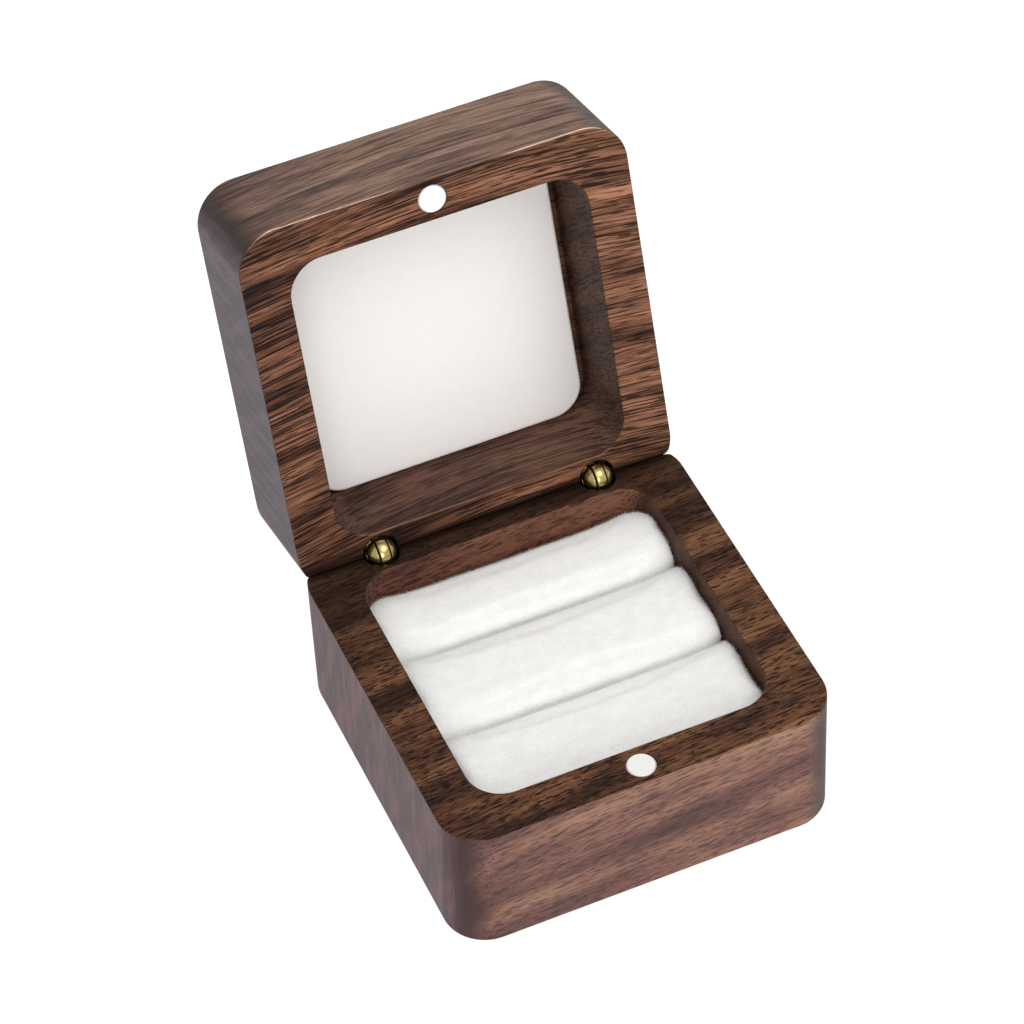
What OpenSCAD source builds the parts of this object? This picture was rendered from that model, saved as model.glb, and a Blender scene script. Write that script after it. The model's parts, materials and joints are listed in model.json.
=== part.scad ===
// Ring display box: a square hardwood box that opens like a book, with two ring slots in the base.
// Each half is milled from one block. Origin: middle of the underside of the base. +Y points to the hinges.

/* [Box] */
// Width and depth of the square box
box_w = 55; // [50:0.5:70]
// Height of the base
base_h = 21; // [18:0.5:26]
// Height of the lid
lid_h = 17.4; // [16:0.5:22]
// Radius of the four upright outer corners
corner_r = 6; // [5:0.25:8]
// Thickness of the side walls
side_wall = 6.3; // [6:0.1:8]
// Thickness of the front wall
front_wall = 6.1; // [6:0.1:8]
// Thickness of the rear wall, which holds the hinges
rear_wall = 6.3; // [6.2:0.1:8]
// Radius of the upright corners of both cavities
cavity_r = 5; // [3.5:0.25:6]
// Thickness of the floor of the base
floor_t = 3; // [2:0.1:4]
// Thickness of the roof of the lid
roof_t = 3; // [2:0.1:3.4]
// Flat broken off the lowest and highest outer edges
edge_ease = 0.4; // [0.3:0.1:1.2]
// Gap that stays between the two rims when the box is shut
rim_gap = 0.1; // [0.05:0.01:0.3]

/* [Opening] */
// Angle at which the lid rests open
open_angle = 106.3; // [95:0.1:110]
// How far in front of the hinge line the rear bevels begin
bevel_lead = 0.6; // [0.3:0.1:1]

/* [Barrel hinges] */
// Distance of each hinge from the middle of the box
hinge_x = 16; // [12:0.5:18]
// Diameter of the drilled holes
barrel_hole_d = 5; // [4.8:0.1:5.2]
// Depth of the drilled holes, from the rim
barrel_hole_depth = 9.5; // [9.3:0.1:11]
// Diameter of the plain barrel between its ribs
barrel_d = 4.7; // [4.5:0.05:4.75]
// Number of ribs that grip the wood
rib_count = 5; // [3:1:5]
// Diameter of the round knuckle
knuckle_d = 4.2; // [4.2:0.1:4.6]
// Thickness of the middle tongue of the knuckle
tongue_t = 1.5; // [1.2:0.1:1.8]
// Diameter of the cross pin
pin_d = 1.4; // [1:0.1:1.6]

/* [Magnets] */
// Diameter of the round magnets
magnet_d = 4; // [3:0.5:4]
// Thickness of the magnets
magnet_t = 2; // [1:0.5:3]

/* [Ring rolls] */
// Drop from the rim to the crown of the rolls
roll_drop = 4.5; // [4.2:0.1:6]
// Place of the rear slot, behind the middle of the box
rear_slot_y = 9.6; // [8:0.1:11]
// Place of the front slot, behind the middle of the box
front_slot_y = -5.2; // [-7:0.1:-4]
// Height of the domed top of a roll
dome_h = 3.2; // [2.5:0.1:4]
// Thickness of the velvet with its pile
velvet_t = 0.7; // [0.5:0.1:1]
// Thickness of the card under the rolls
card_t = 0.8; // [0.5:0.1:1.2]

/* [Lid lining] */
// Drop from the rim of the lid to the face of the lining
lining_drop = 12.5; // [12:0.1:13]
// Gap between the lining and the side walls
lining_side_gap = 1.1; // [0.5:0.1:1.5]
// Thickness of the lining velvet
lining_velvet_t = 0.5; // [0.3:0.1:0.7]
// Thickness of the stiff card behind the lining
lining_card_t = 0.6; // [0.4:0.1:0.8]

/* [Hidden] */
$fn = 96;

walnut = "#6e4a37";
walnut_lid = "#74503b";
brass = "#d8b45a";
steel = "#e9e9e6";
velvet = "#f0eeec";
lining_white = "#e6e1dc";
foam = "#dcd8cc";
card = "#b9ab93";

// The two cavities share one outline, set off centre because the front wall is thinner
cavity_w = box_w - 2 * side_wall;
cavity_front = front_wall - box_w / 2;
cavity_rear = box_w / 2 - rear_wall;
cavity_d = cavity_rear - cavity_front;
cavity_y = (cavity_rear + cavity_front) / 2;
cavity_h = base_h - floor_t;
lid_cavity_h = lid_h - roof_t;

// The hinge line lies in the parting plane, along the middle of the rear wall
hinge_y = box_w / 2 - rear_wall / 2;
stop_gap = 0.03;
bevel_h = rear_wall / 2 * tan(open_angle / 2) + stop_gap;

// Hinge parts, measured from the hinge line
knuckle_r = knuckle_d / 2;
leaf_gap = 0.07;
shoulder = knuckle_r + 0.2;
barrel_len = barrel_hole_depth - shoulder - 0.3;
tip_ease = 0.4;
neck_d = knuckle_d - 0.3;
neck_root = 0.5;
between_cheeks = [[-tongue_t / 2 - leaf_gap, tongue_t / 2 + leaf_gap]];
beside_tongue = [[-knuckle_d, -tongue_t / 2], [tongue_t / 2, knuckle_d]];
rib_grip = 0.02;
rib_h = 0.55;
rib_pitch = (barrel_len - 2 * tip_ease) / rib_count;
pin_len = 2 * sqrt(pow(knuckle_r, 2) - pow(pin_d / 2, 2)) - 0.1;
pin_play = 0.05;
pin_grip = 0.01;

// Magnets lie along the middle of the front rims
magnet_y = front_wall / 2 - box_w / 2;
magnet_sink = 0.05;
magnet_play = 0.05;
magnet_ease = 0.2;
magnet_seat = rim_gap / 2 + magnet_sink + magnet_t;

// Rolls: [front face, rear face, fullness of the front, fullness of the rear, corner radii]
wall_play = 0.1;
slot_play = 0.1;
slot_full = 2.6;
wall_full = 6;
end_full = 5;
slot_corner_r = 2;
wall_corner_r = cavity_r - wall_play;
rear_roll = [rear_slot_y + slot_play, cavity_rear - wall_play, slot_full, wall_full,
             slot_corner_r, wall_corner_r];
middle_roll = [front_slot_y + slot_play, rear_slot_y - slot_play, slot_full, slot_full,
               slot_corner_r, slot_corner_r];
front_roll = [cavity_front + wall_play, front_slot_y - slot_play, wall_full, slot_full,
              wall_corner_r, slot_corner_r];
roll_end = cavity_w / 2 - wall_play;
roll_foot = floor_t + card_t;
roll_crown = base_h - roll_drop;
ridge_end = 2.5;
core_play = 0.02;
corner_steps = 6;

// Levels of a roll: [height over the foot, how far the sides draw in], then steps up the dome
foot_levels = [[0, 0.6], [0.6, 0.2], [1.8, 0]];
dome_steps = [0, 0.35, 0.6, 0.78, 0.9, 0.965, 0.992];

// Lid lining
lining_end_gap = 0.15;
lining_w = cavity_w - 2 * lining_side_gap;
lining_d = cavity_d - 2 * lining_end_gap;
lining_r = cavity_r - 0.5;
lining_h = lid_cavity_h - lining_drop;
lining_pad_t = lining_h - lining_velvet_t - lining_card_t;

// ---- shared shapes

module rounded_block(w, d, r, h) {
    linear_extrude(h) {
        square([w - 2 * r, d], center = true);
        square([w, d - 2 * r], center = true);
        for (sx = [-1, 1], sy = [-1, 1])
            translate([sx * (w / 2 - r), sy * (d / 2 - r)]) circle(r);
    }
}

// Foot of a block whose lowest outer edge is broken by a flat, straight runs first and then corners
module eased_foot(w, r, ease) {
    outline = [[ease - w / 2, 0], [w / 2 - ease, 0], [w / 2, ease], [-w / 2, ease]];
    for (turn = [0, 90])
        rotate([0, 0, turn]) rotate([90, 0, 90])
            linear_extrude(w - 2 * r, center = true) polygon(outline);
    for (sx = [-1, 1], sy = [-1, 1])
        translate([sx * (w / 2 - r), sy * (w / 2 - r), 0])
            cylinder(h = ease, r1 = r - ease, r2 = r);
}

module eased_block(h) {
    eased_foot(box_w, corner_r, edge_ease);
    translate([0, 0, edge_ease]) rounded_block(box_w, box_w, corner_r, h - edge_ease);
}

// One half of the box, foot down, with its rim at height h
module milled_half(h, cavity) {
    difference() {
        eased_block(h - rim_gap / 2);
        translate([0, cavity_y, h - cavity]) rounded_block(cavity_w, cavity_d, cavity_r, cavity);
        translate([0, 0, h]) rear_bevel();
        for (side = [-1, 1])
            translate([side * hinge_x, hinge_y, h - barrel_hole_depth])
                cylinder(h = barrel_hole_depth + 1, d = barrel_hole_d);
        translate([0, magnet_y, h - magnet_seat])
            cylinder(h = magnet_seat + 1, d = magnet_d + 2 * magnet_play);
    }
}

// What is cut from the rear edge of a rim, so that the lid can tip back
module rear_bevel() {
    y0 = hinge_y - bevel_lead;
    y1 = box_w / 2;
    slope = bevel_h / (y1 - y0);
    rotate([90, 0, 90]) linear_extrude(box_w + 2, center = true)
        polygon([[y0, 0], [y1 + 1, -bevel_h - slope], [y1 + 1, 1], [y0, 1]]);
}

module magnet_disc() {
    cylinder(h = magnet_t - magnet_ease, d = magnet_d);
    translate([0, 0, magnet_t - magnet_ease])
        cylinder(h = magnet_ease, d1 = magnet_d, d2 = magnet_d - 2 * magnet_ease);
}

// Turns what is drawn on the shut lid to where the lid rests open
module opened() {
    translate([0, hinge_y, base_h]) rotate([-open_angle, 0, 0])
        translate([0, -hinge_y, -base_h]) children();
}

// Draws a rim-up half upside down on top of the base
module on_base() {
    translate([0, 0, base_h + lid_h]) mirror([0, 0, 1]) children();
}

// ---- barrel hinges, drawn about the hinge line with the barrel pointing down

module barrel() {
    translate([0, 0, -shoulder - barrel_len]) {
        cylinder(h = tip_ease, d1 = barrel_d - 2 * tip_ease, d2 = barrel_d);
        translate([0, 0, tip_ease]) cylinder(h = barrel_len - tip_ease, d = barrel_d);
        for (i = [0:rib_count - 1])
            translate([0, 0, tip_ease + (i + 0.3) * rib_pitch])
                cylinder(h = rib_h, d = barrel_hole_d + 2 * rib_grip);
    }
}

// The back of a leaf is cut to the same slope as the wood, so the two leaves pass each other
module behind_leaf() {
    reach = 2 * barrel_hole_depth;
    rotate([-open_angle / 2, 0, 0]) translate([-reach / 2, -leaf_gap, -leaf_gap]) cube(reach);
}

// Barrel, neck and round knuckle. Each gap, [from, to] along X, is cut clear of the shoulder
// for the lobes of the other leaf.
module hinge_leaf(gaps, bore_d) {
    difference() {
        union() {
            difference() {
                union() {
                    barrel();
                    translate([0, 0, -shoulder - neck_root])
                        cylinder(h = shoulder + neck_root, d = neck_d);
                }
                behind_leaf();
            }
            sphere(d = knuckle_d);
        }
        for (gap = gaps)
            translate([gap[0], -knuckle_d, -shoulder]) cube([gap[1] - gap[0], 2 * knuckle_d, 2 * knuckle_d]);
        rotate([0, 90, 0]) cylinder(h = 2 * knuckle_d, d = bore_d, center = true);
    }
}

module at_hinge(side) {
    translate([side * hinge_x, hinge_y, base_h]) children();
}

module hinge_base_leaf(side) {
    color(brass) at_hinge(side) hinge_leaf(beside_tongue, pin_d - 2 * pin_grip);
}

module hinge_lid_leaf(side) {
    color(brass) opened() at_hinge(side) mirror([0, 0, 1])
        hinge_leaf(between_cheeks, pin_d + 2 * pin_play);
}

module hinge_pin(side) {
    color(brass) at_hinge(side)
        rotate([0, 90, 0]) cylinder(h = pin_len, d = pin_d, center = true);
}

// ---- rolls: plan outlines stacked up, drawn in at the foot and closing over the dome

function draw_in(step, reach, full) = reach * (1 - pow(1 - pow(step, full), 1 / full));

function corner(cx, cy, r, start) =
    [for (i = [0:corner_steps]) let(a = start + 90 * i / corner_steps) [cx + r * cos(a), cy + r * sin(a)]];

function outline(x, y0, y1, r0, r1) =
    let(fit = (y1 - y0) * 0.48, f = min(r0, fit), b = min(r1, fit))
    concat(corner(x - f, y0 + f, f, 270), corner(x - b, y1 - b, b, 0),
           corner(b - x, y1 - b, b, 90), corner(f - x, y0 + f, f, 180));

function at_height(points, z) = [for (p = points) [p[0], p[1], z]];

function foot_ring(roll, skin, level) =
    let(in = skin + level[1])
    at_height(outline(roll_end - in, roll[0] + in, roll[1] - in,
                      max(roll[4] - in, 0.5), max(roll[5] - in, 0.5)),
              roll_foot + skin + level[0]);

function dome_ring(roll, skin, step) =
    let(half = (roll[1] - roll[0]) / 2 - skin,
        shrink = pow(1 - pow(step, slot_full), 1 / slot_full))
    at_height(outline(roll_end - skin - draw_in(step, ridge_end, end_full),
                      roll[0] + skin + draw_in(step, half, roll[2]),
                      roll[1] - skin - draw_in(step, half, roll[3]),
                      max((roll[4] - skin) * shrink, 0.4), max((roll[5] - skin) * shrink, 0.4)),
              roll_crown - skin - dome_h * (1 - step));

// Solid roll, skin millimetres inside the outer face of the velvet
module roll_solid(roll, skin) {
    rings = concat([for (level = foot_levels) foot_ring(roll, skin, level)],
                   [for (step = dome_steps) dome_ring(roll, skin, step)]);
    n = len(rings[0]);
    top = len(rings) - 1;
    sides = [for (k = [0:top - 1], i = [0:n - 1])
        let(a = k * n + i, b = k * n + (i + 1) % n)
        each [[a, a + n, b], [b, a + n, b + n]]];
    foot = [for (i = [1:n - 2]) [0, i, i + 1]];
    crown = [for (i = [1:n - 2]) [top * n, top * n + i + 1, top * n + i]];
    polyhedron([for (ring = rings) each ring], concat(sides, foot, crown), convexity = 4);
}

module roll_core(roll) {
    color(foam) roll_solid(roll, velvet_t + core_play);
}

module roll_cover(roll) {
    color(velvet) difference() {
        roll_solid(roll, 0);
        roll_solid(roll, velvet_t);
    }
}

// ---- base

module base_box() {
    color(walnut) milled_half(base_h, cavity_h);
}

module base_magnet() {
    color(steel) translate([0, magnet_y, base_h - magnet_seat]) magnet_disc();
}

module insert_card() {
    play = 2 * 0.2;
    color(card) translate([0, cavity_y, floor_t])
        rounded_block(cavity_w - play, cavity_d - play, cavity_r - play / 2, card_t);
}

// ---- lid, drawn shut and then opened

module lid_box() {
    color(walnut_lid) opened() on_base() milled_half(lid_h, lid_cavity_h);
}

module lid_magnet() {
    color(steel) opened() on_base()
        translate([0, magnet_y, lid_h - magnet_seat]) magnet_disc();
}

// Places a lining layer, measured down from the roof of the lid
module on_roof(z) {
    opened() on_base() translate([0, cavity_y, roof_t + z]) children();
}

module lining_layer(h) {
    rounded_block(lining_w - 2 * lining_velvet_t, lining_d - 2 * lining_velvet_t,
                  lining_r - lining_velvet_t, h);
}

module lining_card() {
    color(card) on_roof(0) lining_layer(lining_card_t);
}

module lining_pad() {
    color(foam) on_roof(lining_card_t) lining_layer(lining_pad_t);
}

// Velvet over the face of the pad, with its edges turned down to the roof
module lining_cover() {
    color(lining_white) on_roof(0) difference() {
        rounded_block(lining_w, lining_d, lining_r, lining_h);
        translate([0, 0, -1]) lining_layer(lining_h - lining_velvet_t + 1);
    }
}

base_box();
base_magnet();
insert_card();
roll_core(rear_roll);  // rear_roll_core
roll_core(middle_roll);  // middle_roll_core
roll_core(front_roll);  // front_roll_core
roll_cover(rear_roll);  // rear_roll_cover
roll_cover(middle_roll);  // middle_roll_cover
roll_cover(front_roll);  // front_roll_cover
hinge_base_leaf(-1);  // left_hinge_base_leaf
hinge_base_leaf(1);  // right_hinge_base_leaf
hinge_pin(-1);  // left_hinge_pin
hinge_pin(1);  // right_hinge_pin
lid_box();
lid_magnet();
lining_card();
lining_pad();
lining_cover();
hinge_lid_leaf(-1);  // left_hinge_lid_leaf
hinge_lid_leaf(1);  // right_hinge_lid_leaf
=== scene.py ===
import bmesh
import bpy
import json
import math
from mathutils import Matrix, Vector


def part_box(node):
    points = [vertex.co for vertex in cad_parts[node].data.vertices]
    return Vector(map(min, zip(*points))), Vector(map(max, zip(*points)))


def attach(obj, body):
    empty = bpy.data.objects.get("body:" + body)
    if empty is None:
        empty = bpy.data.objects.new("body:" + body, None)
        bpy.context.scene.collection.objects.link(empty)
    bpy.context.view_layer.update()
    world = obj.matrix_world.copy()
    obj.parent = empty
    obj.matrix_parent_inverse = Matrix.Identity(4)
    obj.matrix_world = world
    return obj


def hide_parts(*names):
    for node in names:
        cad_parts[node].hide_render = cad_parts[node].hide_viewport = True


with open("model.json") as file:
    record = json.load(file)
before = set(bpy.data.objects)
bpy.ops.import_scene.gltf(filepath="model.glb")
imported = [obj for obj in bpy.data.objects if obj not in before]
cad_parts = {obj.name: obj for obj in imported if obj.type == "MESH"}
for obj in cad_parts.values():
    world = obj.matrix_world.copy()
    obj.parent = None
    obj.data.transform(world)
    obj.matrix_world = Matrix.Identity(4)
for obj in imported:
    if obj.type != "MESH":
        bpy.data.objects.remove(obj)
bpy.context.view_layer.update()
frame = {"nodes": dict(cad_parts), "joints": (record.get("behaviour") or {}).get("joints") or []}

# Everything below is in metres; sizes are written in millimetres times mm
mm = 0.001

# Measures that several pieces share, taken from the frame
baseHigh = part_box("base_box")[1]
cardLow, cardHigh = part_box("insert_card")
lidJoint = frame["joints"][0]
hingeY, partingZ = lidJoint["pos_m"][1:]
openAngle = math.radians(lidJoint["range_deg"][1])
boxHalf = baseHigh.x
rimGap = 2 * (partingZ - baseHigh.z)
hingeX = (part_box("right_hinge_pin")[0].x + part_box("right_hinge_pin")[1].x) / 2
magnetY = (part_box("base_magnet")[0].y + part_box("base_magnet")[1].y) / 2

# The shut lid turns to where it rests open about the hinge line
hingePoint = Vector((0, hingeY, partingZ))
openTurn = (Matrix.Translation(hingePoint) @ Matrix.Rotation(-openAngle, 4, "X")
            @ Matrix.Translation(-hingePoint))


# Mesh helpers

def placeMesh(name, mesh, angle=30):
    piece = bpy.data.objects.new(name, mesh)
    bpy.context.scene.collection.objects.link(piece)
    shadeByAngle(piece, angle)
    return piece


def shadeByAngle(piece, angle):
    piece.data.shade_smooth()
    piece.data.set_sharp_from_angle(angle=math.radians(angle))


# Swaps a piece's mesh for what its modifiers make of it
def settle(piece):
    depsgraph = bpy.context.evaluated_depsgraph_get()
    result = bpy.data.meshes.new_from_object(piece.evaluated_get(depsgraph))
    old = piece.data
    piece.modifiers.clear()
    piece.data = result
    bpy.data.meshes.remove(old)


def combine(piece, others, operation):
    for other in others:
        step = piece.modifiers.new("combine", "BOOLEAN")
        step.operation = operation
        step.solver = "EXACT"
        step.object = other
    settle(piece)
    for other in others:
        mesh = other.data
        bpy.data.objects.remove(other)
        bpy.data.meshes.remove(mesh)


# Quads between each row of points and the next
def bridge(built, rows):
    for low, high in zip(rows, rows[1:]):
        for i in range(len(low)):
            j = (i + 1) % len(low)
            built.faces.new((low[i], low[j], high[j], high[i]))


def meshFrom(built, name):
    mesh = bpy.data.meshes.new(name)
    built.to_mesh(mesh)
    built.free()
    return mesh


# Merges doubled points and drops the slivers that cutting leaves
def cleanUp(piece):
    built = bmesh.new()
    built.from_mesh(piece.data)
    bmesh.ops.remove_doubles(built, verts=built.verts, dist=0.001 * mm)
    bmesh.ops.dissolve_degenerate(built, edges=built.edges, dist=0.0005 * mm)
    built.to_mesh(piece.data)
    built.free()


# Skin over a stack of rings that all have the same number of points
def loft(rings):
    built = bmesh.new()
    rows = [[built.verts.new(point) for point in ring] for ring in rings]
    bridge(built, rows)
    built.faces.new(rows[0][::-1])
    built.faces.new(rows[-1])
    bmesh.ops.remove_doubles(built, verts=built.verts, dist=0.0005 * mm)
    bmesh.ops.recalc_face_normals(built, faces=built.faces)
    return meshFrom(built, "loft")


# A point this far off each end of an arc keeps the straight runs beside it flat
support = 0.06 * mm


# Rounded rectangle in plan
def roundedRing(halfX, front, rear, radius, z, steps):
    points = []
    corners = ((halfX - radius, front + radius, -90), (halfX - radius, rear - radius, 0),
               (radius - halfX, rear - radius, 90), (radius - halfX, front + radius, 180))
    for cx, cy, start in corners:
        first = math.radians(start)
        last = math.radians(start + 90)
        points.append((cx + radius * math.cos(first) + support * math.sin(first),
                       cy + radius * math.sin(first) - support * math.cos(first), z))
        for i in range(steps + 1):
            a = math.radians(start + 90 * i / steps)
            points.append((cx + radius * math.cos(a), cy + radius * math.sin(a), z))
        points.append((cx + radius * math.cos(last) - support * math.sin(last),
                       cy + radius * math.sin(last) + support * math.cos(last), z))
    return points


# Shape turned about the Z axis from (radius, z) points that start and end on the axis
def lathe(profile, steps):
    rings = [[(r * math.cos(2 * math.pi * i / steps), r * math.sin(2 * math.pi * i / steps), z)
              for i in range(steps)] for r, z in profile if r > 0]
    return loft(rings)


# Shader helpers

# A shader socket that takes part in sums; node() adds any other node
class Wire:
    def __init__(self, socket):
        self.socket = socket
        self.tree = socket.id_data

    def node(self, kind, settings=None, inputs=None, output=0):
        made = self.tree.nodes.new("ShaderNode" + kind)
        for name, value in (settings or {}).items():
            if name == "stops":
                ramp = made.color_ramp
                while len(ramp.elements) > 1:
                    ramp.elements.remove(ramp.elements[-1])
                ramp.elements[0].position = value[0][0]
                ramp.elements[0].color = value[0][1]
                for position, colour in value[1:]:
                    ramp.elements.new(position).color = colour
            else:
                setattr(made, name, value)
        for key, value in (inputs or {}).items():
            if isinstance(value, Wire):
                self.tree.links.new(value.socket, made.inputs[key])
            else:
                made.inputs[key].default_value = value
        return Wire(made.outputs[output])

    def math(self, operation, *values):
        return self.node("Math", {"operation": operation}, dict(enumerate(values or (self,))))

    def __add__(self, other):
        return self.math("ADD", self, other)

    __radd__ = __add__

    def __sub__(self, other):
        return self.math("SUBTRACT", self, other)

    def __rsub__(self, other):
        return self.math("SUBTRACT", other, self)

    def __mul__(self, other):
        return self.math("MULTIPLY", self, other)

    __rmul__ = __mul__

    def __abs__(self):
        return self.math("ABSOLUTE")

    def atLeast(self, other):
        return self.math("MAXIMUM", self, other)

    # 0 below low and 1 above high, with a soft step between; low above high turns it round
    def between(self, low, high):
        step = {"Value": self, "From Min": low, "From Max": high}
        if low > high:
            step = {"Value": self, "From Min": high, "From Max": low, "To Min": 1.0, "To Max": 0.0}
        return self.node("MapRange", {"interpolation_type": "SMOOTHSTEP"}, step)

    # 1 from the second value to the third, fading out to the first and the last
    def within(self, first, second, third, last):
        return self.between(first, second) * self.between(last, third)

    def axis(self, name):
        return self.node("SeparateXYZ", None, {0: self}, name)

    # Noise of this size, in units of this vector for each axis
    def noise(self, size, detail=2.0, rough=0.5, shift=(0, 0, 0)):
        place = self.node("Mapping", None, {"Vector": self, "Location": shift,
                                            "Scale": tuple(1 / s for s in size)})
        return self.node("TexNoise", None, {"Vector": place, "Scale": 1.0, "Detail": detail,
                                            "Roughness": rough})

    def ramp(self, stops):
        return self.node("ValToRGB", {"stops": stops}, {"Fac": self})

    # This wire is the share of the second colour
    def blend(self, first, second):
        return self.node("Mix", {"data_type": "RGBA"}, {0: self, 6: first, 7: second}, 2)


# Linear colour from the hexadecimal one that a picture shows
def colour(code):
    parts = [int(code[i:i + 2], 16) / 255 for i in (1, 3, 5)]
    return tuple(p / 12.92 if p <= 0.04045 else ((p + 0.055) / 1.055) ** 2.4 for p in parts) + (1,)


# Starts a material and gives its shader and its coordinates in millimetres
def startMaterial(name, opened=False):
    material = bpy.data.materials.new(name)
    material.use_nodes = True
    shader = material.node_tree.nodes["Principled BSDF"]
    coordinates = Wire(material.node_tree.nodes.new("ShaderNodeTexCoord").outputs["Object"])
    normal = Wire(coordinates.socket.node.outputs["Normal"])
    turn = (openAngle, 0, 0) if opened else (0, 0, 0)
    back = Matrix.Rotation(turn[0], 3, "X")
    offset = (hingePoint - back @ hingePoint) / mm
    place = coordinates.node("Mapping", None, {"Vector": coordinates, "Location": tuple(offset),
                                               "Rotation": turn, "Scale": (1 / mm,) * 3})
    normal = normal.node("Mapping", {"vector_type": "VECTOR"}, {"Vector": normal, "Rotation": turn})
    return material, shader, place, normal


def connect(shader, **sockets):
    for name, value in sockets.items():
        target = shader.inputs[name.replace("_", " ")]
        if isinstance(value, Wire):
            shader.id_data.links.new(value.socket, target)
        else:
            target.default_value = value


# Camera, light and floor

view = {
    "place": (-0.147023, -0.359164, 0.460959),
    "turn": (42.9993, 2.1875, -23.7380),  # degrees about X, Y and Z
    "lens": 155.8,
    "sensor": 36.0,
    "lights": (
        # name, place, aimed at, width, power
        ("topSoftbox", (0.15, -0.30, 0.75), (0, 0, 0.03), 0.55, 1.9),
        ("frontSoftbox", (-0.25, -0.75, 0.35), (0, 0, 0.03), 0.50, 2.0),
    ),
    "sky": 0.72,
    "floorSize": 4.0,
}

cameraData = bpy.data.cameras.new("camera")
cameraData.sensor_width = view["sensor"]
cameraData.lens = view["lens"]
camera = bpy.data.objects.new("camera", cameraData)
camera.location = view["place"]
camera.rotation_euler = [math.radians(a) for a in view["turn"]]
bpy.context.scene.collection.objects.link(camera)
bpy.context.scene.camera = camera

for name, place, aim, width, power in view["lights"]:
    lamp = bpy.data.lights.new(name, "AREA")
    lamp.shape = "DISK"
    lamp.size = width
    lamp.energy = power
    holder = bpy.data.objects.new(name, lamp)
    holder.location = place
    holder.rotation_euler = (Vector(aim) - Vector(place)).to_track_quat("-Z", "Y").to_euler()
    bpy.context.scene.collection.objects.link(holder)

world = bpy.data.worlds.new("studio")
world.use_nodes = True
world.node_tree.nodes["Background"].inputs["Color"].default_value = (1, 1, 1, 1)
world.node_tree.nodes["Background"].inputs["Strength"].default_value = view["sky"]
bpy.context.scene.world = world
bpy.context.scene.view_settings.view_transform = "Standard"

floorEdge = view["floorSize"] / 2
floorMesh = bpy.data.meshes.new("floor")
floorMesh.from_pydata([(-floorEdge, -floorEdge, 0), (floorEdge, -floorEdge, 0),
                       (floorEdge, floorEdge, 0), (-floorEdge, floorEdge, 0)], [], [(0, 1, 2, 3)])
floor = bpy.data.objects.new("floor", floorMesh)
floor.location.z = -0.05 * mm
bpy.context.scene.collection.objects.link(floor)
floorPaper, shader, place, normal = startMaterial("floorPaper")
connect(shader, Base_Color=(0.25, 0.25, 0.25, 1), Roughness=0.9, Emission_Color=(1, 1, 1, 1),
        Emission_Strength=0.9)
floorMesh.materials.append(floorPaper)
print("camera, light and floor are set")


# Wood

# The two halves are cut from different places of one plank. The grain runs along X, and the
# trunk's middle lies below and far in front, so the growth rings cross rims and walls as lines
# along X and the end faces as slanting bands.
baseGrain = {
    "shift": (0, 0, 0),            # mm, the place in the plank
    "turn": -3.0,                  # degrees, how far the grain runs off X in plan
    "pith": (-120.0, -50.0),       # mm, where the middle of the trunk passes, in Y and Z
    "drift": 0.05,                 # how far that moves down along X
    "bow": (0.0, 0.0),             # per mm, bend of the grain and the X where it is straight
    "ringWidth": 4.2,              # mm
    "lighter": 0.0005,             # per mm along X, painted light: how fast the wood is made brighter towards +X
    "sway": 4.0,                   # mm, how far the rings wander
    "contrast": (0.27, 0.26, 0.21, 0.26),  # of the rings, clouds, lines and fibres
    "lineSize": (4.0, 0.24, 0.9),  # mm, the dark streaks
    "lineLevel": (0.41, 0.35),
    "fineSize": (1.6, 0.15, 0.5),  # mm, the finer streaks between them
    "fineLevel": (0.42, 0.36),
    "poreCell": (1.9, 0.48, 0.60),  # mm, room for each open pore
    "poreLevel": (0.36, 0.27),
    "poreShare": (0.30, 0.42),
    "rim": ("#24150f", "#3e271c", "#5a3a29", "#755036", "#8e6543"),
    "wall": ("#42241e", "#5f3930", "#70473c", "#845c4a", "#9b745d"),
    "cavity": ("#3c231a", "#533328", "#684234", "#744e3c", "#805945"),
    "leftEnd": ("#432b2f", "#523539", "#624146"),
    "rightEnd": ("#3f2a22", "#50372c", "#624638"),
    "endCorner": "#3a2523",
    "innerEnd": 0.50,
    "rearShade": (4.0, 20.0),      # mm in Y, from here back the rims get painted shade, as if cast by the open lid
    "arris": (0.12, 0.0),          # painted highlights: shares of the front edge and of the cavity's edge by the hinges
    "lacquer": (0.40, 0.22),       # on the long walls and on the end grain
}
lidGrain = {
    "shift": (31, 12, 27),
    "turn": -1.0,
    "pith": (-130.0, 130.0),
    "drift": -0.03,
    "bow": (-0.0026, 10.0),
    "ringWidth": 3.0,
    "lighter": 0.0009,
    "sway": 3.0,
    "contrast": (0.28, 0.24, 0.26, 0.22),
    "lineSize": (11.0, 0.26, 1.0),
    "lineLevel": (0.46, 0.41),
    "fineSize": (5.0, 0.14, 0.6),
    "fineLevel": (0.43, 0.38),
    "poreCell": (4.0, 0.45, 0.65),
    "poreLevel": (0.33, 0.24),
    "poreShare": (0.38, 0.50),
    "rim": ("#2b1913", "#4a2c20", "#6d4835", "#8b5e48", "#aa785b"),
    "wall": ("#452d24", "#654739", "#7e5c4a", "#90705c", "#a4846e"),
    "cavity": ("#3a251e", "#4e3329", "#624436", "#71503f", "#7e5b49"),
    "leftEnd": ("#382a31", "#44353d", "#51404a"),
    "rightEnd": ("#38281f", "#483429", "#594235"),
    "endCorner": "#30201b",
    "innerEnd": 0.50,
    "rearShade": (40.0, 60.0),
    "arris": (0.9, 0.35),
    "lacquer": (0.34, 0.23),
}
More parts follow.
